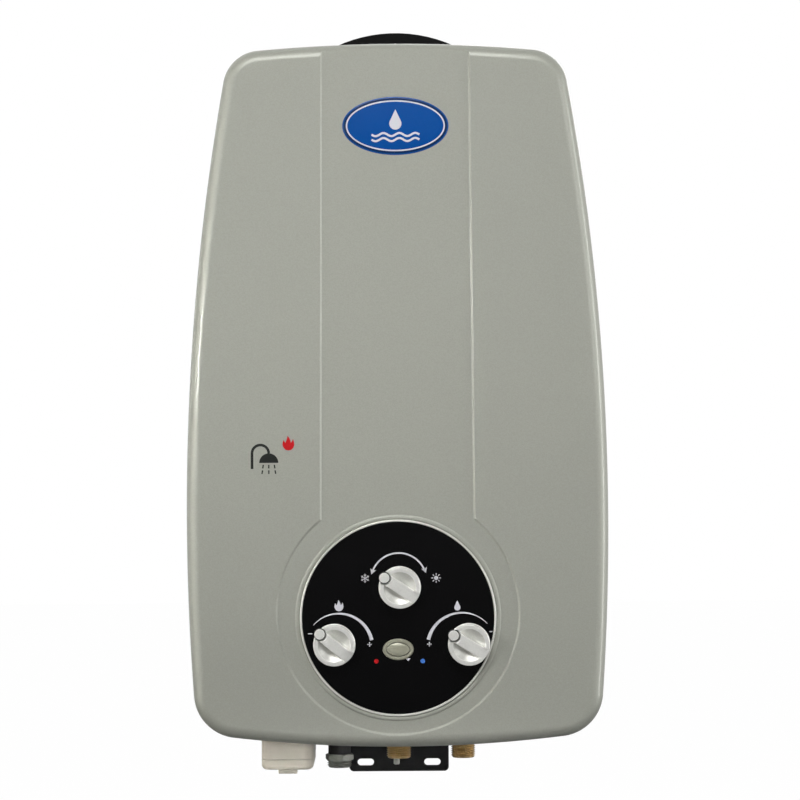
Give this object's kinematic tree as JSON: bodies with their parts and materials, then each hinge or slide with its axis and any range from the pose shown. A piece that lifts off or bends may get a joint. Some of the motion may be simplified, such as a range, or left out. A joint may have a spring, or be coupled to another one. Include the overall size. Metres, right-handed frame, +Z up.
{
  "type": "instantaneous gas water heater",
  "caption": "Wall-hung instantaneous gas water heater with a barrel-sided steel cover, a round control panel with turning knobs and a push button, and pipe connections below.",
  "frame": {"origin": "centre of the round eye of the hanger's keyhole, on the wall plane", "axes": "+Y into the wall, the front faces -Y, +Z up, +X to the right as one faces the heater"},
  "size_m": [0.3538, 0.1647, 0.6536],
  "materials": {
    "cover_paint": "silver-grey metallic paint",
    "black_steel": "black powder coat",
    "panel_black": "piano black",
    "trim_bright": "bright",
    "knob_silver": "satin silver plating",
    "button_grey": "warm grey",
    "beige_plastic": "beige",
    "zinc_grey": "cast zinc",
    "brass": "machined",
    "valve_cast": "die cast",
    "valve_brass": "cast",
    "rubber_black": "matt",
    "copper": "bare copper",
    "galvanised": "zinc plated sheet",
    "stainless": "stainless sheet",
    "steel_small": "zinc plated",
    "black_plastic": "moulded",
    "ceramic": "glazed ceramic",
    "badge_blue": "blue enamel",
    "cell_jacket": "printed steel jacket"
  },
  "bodies": {
    "case": {"back_plate": "black_steel", "badge_plate": "badge_blue", "battery_box": "beige_plastic", "battery_front": "cell_jacket", "battery_rear": "cell_jacket", "burner_bar_1": "stainless", "burner_bar_2": "stainless", "burner_bar_3": "stainless", "burner_bar_4": "stainless", "burner_bar_5": "stainless", "burner_bracket": "galvanised", "burner_frame": "stainless", "button_bezel": "button_grey", "button_spring": "steel_small", "button_switch": "black_plastic", "cold_inlet": "brass", "cold_pipe": "copper", "combustion_chamber": "copper", "control_panel": "panel_black", "cover_screw_left": "steel_small", "cover_screw_right": "steel_small", "diaphragm": "rubber_black", "diaphragm_cover": "valve_brass", "exchanger_bracket": "galvanised", "exchanger_tubes": "copper", "fin_pack": "copper", "flame_electrode": "ceramic", "flue_hood": "galvanised", "front_cover": "cover_paint", "gas_inlet": "zinc_grey", "gas_manifold": "valve_cast", "gas_sleeve": "rubber_black", "gas_valve_body": "valve_cast", "gas_valve_spring": "steel_small", "hot_outlet": "brass", "hot_pipe": "copper", "igniter_box": "black_plastic", "lower_bracket": "galvanised", "micro_switch": "black_plastic", "overheat_thermostat": "steel_small", "panel_surround": "cover_paint", "panel_trim": "trim_bright", "solenoid_valve": "black_plastic", "spark_electrode": "ceramic", "spring_cap": "brass", "water_coil": "copper", "water_valve_body": "valve_brass"},
    "gas_control": {"gas_knob": "knob_silver", "gas_spindle": "brass"},
    "water_control": {"water_knob": "knob_silver", "water_spindle": "brass"},
    "season_control": {"season_knob": "knob_silver", "season_spindle": "brass"},
    "button": {"push_button": "button_grey"},
    "battery_cover": {"battery_lid": "beige_plastic"},
    "drain": {"drain_plug": "zinc_grey"},
    "valve_rod": {"push_rod": "brass", "gas_valve_disc": "brass", "diaphragm_plate": "valve_brass"},
    "switch_arm": {"switch_lever": "steel_small"}
  },
  "joints": [
    {"name": "gas_turn", "type": "hinge", "parent": "case", "child": "gas_control", "pos_m": [-0.0535, -0.151, -0.5124], "axis": [0, 1, 0], "range_deg": [0, 133]},
    {"name": "water_turn", "type": "hinge", "parent": "case", "child": "water_control", "pos_m": [0.0592, -0.151, -0.5124], "axis": [0, 1, 0], "range_deg": [-25, 113]},
    {"name": "season_turn", "type": "hinge", "parent": "case", "child": "season_control", "pos_m": [0.0015, -0.151, -0.4646], "axis": [0, 1, 0], "range_deg": [0, 112]},
    {"name": "button_press", "type": "slide", "parent": "case", "child": "button", "axis": [0, 1, 0], "range_m": [0, 0.003], "stiffness_N_per_m": 300, "springref_m": -0.003, "deforming": ["button_spring"]},
    {"name": "battery_lid_swing", "type": "hinge", "parent": "case", "child": "battery_cover", "pos_m": [-0.0944, -0.0414, -0.6142], "axis": [1, 0, 0], "range_deg": [0, 95]},
    {"name": "drain_turn", "type": "hinge", "parent": "case", "child": "drain", "pos_m": [-0.002, -0.06004, -0.607], "axis": [0, 0, -1], "range_deg": [0, 360]},
    {"name": "rod_slide", "type": "slide", "parent": "case", "child": "valve_rod", "axis": [-1, 0, 0], "range_m": [0, 0.004], "stiffness_N_per_m": 400, "springref_m": -0.004, "deforming": ["gas_valve_spring"]},
    {"name": "lever_tip", "type": "hinge", "parent": "case", "child": "switch_arm", "pos_m": [-0.0045, -0.085, -0.553], "axis": [0, -1, 0], "range_deg": [0, 13.6]}
  ],
  "couplings": [
    {"joint": "lever_tip", "follows": "rod_slide", "rad_per_m": 59}
  ]
}
